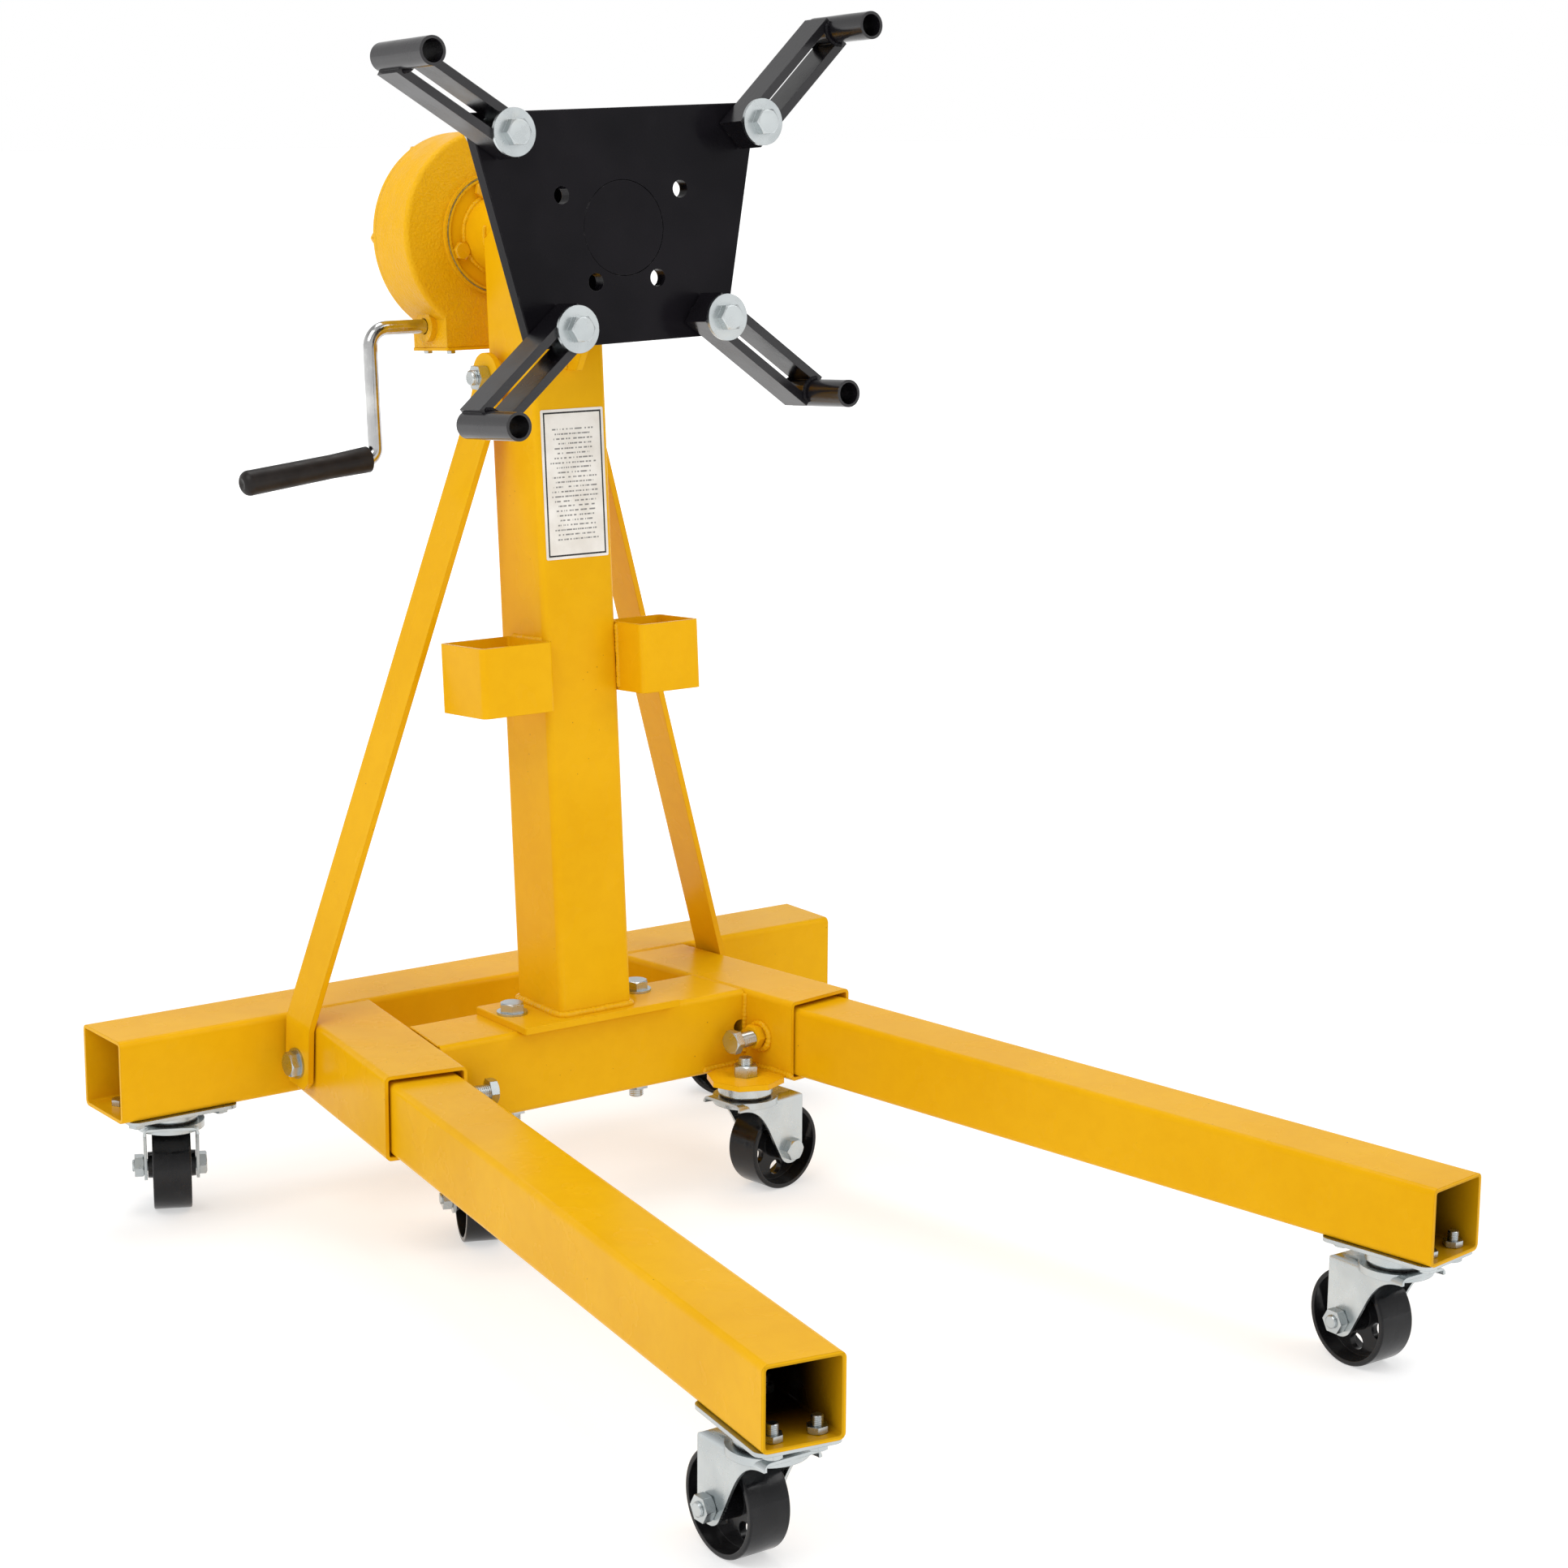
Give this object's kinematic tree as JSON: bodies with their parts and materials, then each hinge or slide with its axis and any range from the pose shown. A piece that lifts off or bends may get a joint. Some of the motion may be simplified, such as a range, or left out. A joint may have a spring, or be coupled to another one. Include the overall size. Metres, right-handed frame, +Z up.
{
  "type": "rotating engine stand",
  "caption": "Wheeled engine stand with splayed telescopic legs, a braced leaning mast, a hand-cranked worm gearbox and a turning head with slotted arms.",
  "frame": {"origin": "on the floor, at the middle of the footprint of the bounding box", "axes": "+Z up, legs towards -Y, rear crossbar along X, crank on the -X side"},
  "size_m": [0.72, 0.9544, 0.9945],
  "materials": {
    "yellow_coat": "glossy golden-yellow powder coat",
    "yellow_casting": "glossy yellow paint on rough sand-cast iron",
    "black_coat": "high-gloss black enamel",
    "zinc": "bright zinc plate",
    "crank_chrome": "polished chrome",
    "grip_rubber": "satin black moulded grip",
    "black_wheel": "glossy black paint on cast iron",
    "cast_iron": "machined grey iron",
    "machined_steel": "turned and ground steel",
    "bronze": "turned bearing bronze",
    "label": "printed plastic film with a black border"
  },
  "bodies": {
    "frame": {"rear_crossbar": "yellow_coat", "left_sleeve": "yellow_coat", "right_sleeve": "yellow_coat", "front_beam": "yellow_coat", "corner_plates": "yellow_coat", "clamp_nuts": "yellow_coat", "mast_plate": "yellow_coat", "mast": "yellow_coat", "left_pocket": "yellow_coat", "right_pocket": "yellow_coat", "left_brace": "yellow_coat", "right_brace": "yellow_coat", "frame_bolts": "zinc", "mast_label": "label", "spindle_housing": "yellow_coat", "gearbox_housing": "yellow_casting", "gearbox_back_cover": "yellow_casting", "gearbox_bottom_cover": "yellow_casting", "gearbox_screws": "zinc", "gearbox_bushes": "bronze", "rear_caster_plates": "zinc", "inner_caster_stems": "zinc"},
    "left_leg": {"left_leg": "yellow_coat", "left_leg_caster_plate": "zinc"},
    "right_leg": {"right_leg": "yellow_coat", "right_leg_caster_plate": "zinc"},
    "left_clamp": {"left_clamp_bolt": "zinc"},
    "right_clamp": {"right_clamp_bolt": "zinc"},
    "head": {"head_plate": "black_coat", "spindle": "machined_steel", "worm_wheel": "cast_iron"},
    "crank": {"worm": "machined_steel", "crank_rod": "crank_chrome", "crank_grip": "grip_rubber"},
    "upper_left_pivot": {"upper_left_arm_bolt": "zinc"},
    "upper_left_arm": {"upper_left_arm": "black_coat"},
    "upper_right_pivot": {"upper_right_arm_bolt": "zinc"},
    "upper_right_arm": {"upper_right_arm": "black_coat"},
    "lower_left_pivot": {"lower_left_arm_bolt": "zinc"},
    "lower_left_arm": {"lower_left_arm": "black_coat"},
    "lower_right_pivot": {"lower_right_arm_bolt": "zinc"},
    "lower_right_arm": {"lower_right_arm": "black_coat"},
    "rear_left_swivel": {"rear_left_fork": "zinc", "rear_left_axle": "zinc"},
    "rear_left_wheel": {"rear_left_wheel": "black_wheel"},
    "rear_right_swivel": {"rear_right_fork": "zinc", "rear_right_axle": "zinc"},
    "rear_right_wheel": {"rear_right_wheel": "black_wheel"},
    "inner_left_swivel": {"inner_left_fork": "zinc", "inner_left_axle": "zinc"},
    "inner_left_wheel": {"inner_left_wheel": "black_wheel"},
    "inner_right_swivel": {"inner_right_fork": "zinc", "inner_right_axle": "zinc"},
    "inner_right_wheel": {"inner_right_wheel": "black_wheel"},
    "front_left_swivel": {"front_left_fork": "zinc", "front_left_axle": "zinc"},
    "front_left_wheel": {"front_left_wheel": "black_wheel"},
    "front_right_swivel": {"front_right_fork": "zinc", "front_right_axle": "zinc"},
    "front_right_wheel": {"front_right_wheel": "black_wheel"}
  },
  "joints": [
    {"name": "left_leg_slide", "type": "slide", "parent": "frame", "child": "left_leg", "axis": [-0.1547, -0.988, 0], "range_m": [0, 0.15]},
    {"name": "left_clamp_screw", "type": "slide", "parent": "frame", "child": "left_clamp", "axis": [0.988, -0.1547, 0], "range_m": [-0.0064, 0.006]},
    {"name": "right_leg_slide", "type": "slide", "parent": "frame", "child": "right_leg", "axis": [0.1547, -0.988, 0], "range_m": [0, 0.15]},
    {"name": "right_clamp_screw", "type": "slide", "parent": "frame", "child": "right_clamp", "axis": [-0.988, -0.1547, 0], "range_m": [0, 0.013]},
    {"name": "head_spin", "type": "hinge", "parent": "frame", "child": "head", "pos_m": [0, 0.29995, 0.81743], "axis": [0, -0.9976, 0.0698], "continuous": true},
    {"name": "crank_turn", "type": "hinge", "parent": "frame", "child": "crank", "pos_m": [0, 0.39255, 0.73678], "axis": [-1, 0, 0], "continuous": true},
    {"name": "upper_left_pivot", "type": "hinge", "parent": "head", "child": "upper_left_pivot", "pos_m": [-0.11778, 0.16538, 0.89996], "axis": [0, -0.9976, 0.0698], "range_deg": [-40, 40]},
    {"name": "upper_left_slide", "type": "slide", "parent": "upper_left_pivot", "child": "upper_left_arm", "axis": [0.8499, -0.0368, -0.5257], "range_m": [0, 0.045]},
    {"name": "upper_right_pivot", "type": "hinge", "parent": "head", "child": "upper_right_pivot", "pos_m": [0.11353, 0.16583, 0.90641], "axis": [0, -0.9976, 0.0698], "range_deg": [-40, 40]},
    {"name": "upper_right_slide", "type": "slide", "parent": "upper_right_pivot", "child": "upper_right_arm", "axis": [-0.7361, -0.0472, -0.6752], "range_m": [0, 0.045]},
    {"name": "lower_left_pivot", "type": "hinge", "parent": "head", "child": "lower_left_pivot", "pos_m": [-0.06819, 0.15495, 0.75075], "axis": [0, -0.9976, 0.0698], "range_deg": [-40, 40]},
    {"name": "lower_left_slide", "type": "slide", "parent": "lower_left_pivot", "child": "lower_left_arm", "axis": [0.7672, 0.0447, 0.6399], "range_m": [0, 0.045]},
    {"name": "lower_right_pivot", "type": "hinge", "parent": "head", "child": "lower_right_pivot", "pos_m": [0.07236, 0.15522, 0.75467], "axis": [0, -0.9976, 0.0698], "range_deg": [-40, 40]},
    {"name": "lower_right_slide", "type": "slide", "parent": "lower_right_pivot", "child": "lower_right_arm", "axis": [-0.8039, 0.0415, 0.5934], "range_m": [0, 0.045]},
    {"name": "rear_left_swivel", "type": "hinge", "parent": "frame", "child": "rear_left_swivel", "pos_m": [-0.3035, 0.4071, 0.088], "axis": [0, 0, 1], "continuous": true},
    {"name": "rear_left_wheel_spin", "type": "hinge", "parent": "rear_left_swivel", "child": "rear_left_wheel", "pos_m": [-0.28945, 0.43696, 0.0375], "axis": [-0.9048, 0.4258, 0], "continuous": true},
    {"name": "rear_right_swivel", "type": "hinge", "parent": "frame", "child": "rear_right_swivel", "pos_m": [0.3035, 0.4071, 0.088], "axis": [0, 0, 1], "continuous": true},
    {"name": "rear_right_wheel_spin", "type": "hinge", "parent": "rear_right_swivel", "child": "rear_right_wheel", "pos_m": [0.28364, 0.43345, 0.0375], "axis": [-0.7986, -0.6018, 0], "continuous": true},
    {"name": "inner_left_swivel", "type": "hinge", "parent": "frame", "child": "inner_left_swivel", "pos_m": [-0.13, 0.1881, 0.088], "axis": [0, 0, 1], "continuous": true},
    {"name": "inner_left_wheel_spin", "type": "hinge", "parent": "inner_left_swivel", "child": "inner_left_wheel", "pos_m": [-0.11764, 0.2187, 0.0375], "axis": [-0.9272, 0.3746, 0], "continuous": true},
    {"name": "inner_right_swivel", "type": "hinge", "parent": "frame", "child": "inner_right_swivel", "pos_m": [0.13, 0.1881, 0.088], "axis": [0, 0, 1], "continuous": true},
    {"name": "inner_right_wheel_spin", "type": "hinge", "parent": "inner_right_swivel", "child": "inner_right_wheel", "pos_m": [0.16268, 0.19269, 0.0375], "axis": [-0.1392, 0.9903, 0], "continuous": true},
    {"name": "front_left_swivel", "type": "hinge", "parent": "left_leg", "child": "front_left_swivel", "pos_m": [-0.28747, -0.42313, 0.088], "axis": [0, 0, 1], "continuous": true},
    {"name": "front_left_wheel_spin", "type": "hinge", "parent": "front_left_swivel", "child": "front_left_wheel", "pos_m": [-0.28747, -0.39014, 0.0375], "axis": [-1, 0, 0], "continuous": true},
    {"name": "front_right_swivel", "type": "hinge", "parent": "right_leg", "child": "front_right_swivel", "pos_m": [0.28747, -0.42313, 0.088], "axis": [0, 0, 1], "continuous": true},
    {"name": "front_right_wheel_spin", "type": "hinge", "parent": "front_right_swivel", "child": "front_right_wheel", "pos_m": [0.28747, -0.39014, 0.0375], "axis": [-1, 0, 0], "continuous": true}
  ],
  "couplings": [
    {"joint": "crank_turn", "follows": "head_spin", "ratio": 40}
  ]
}
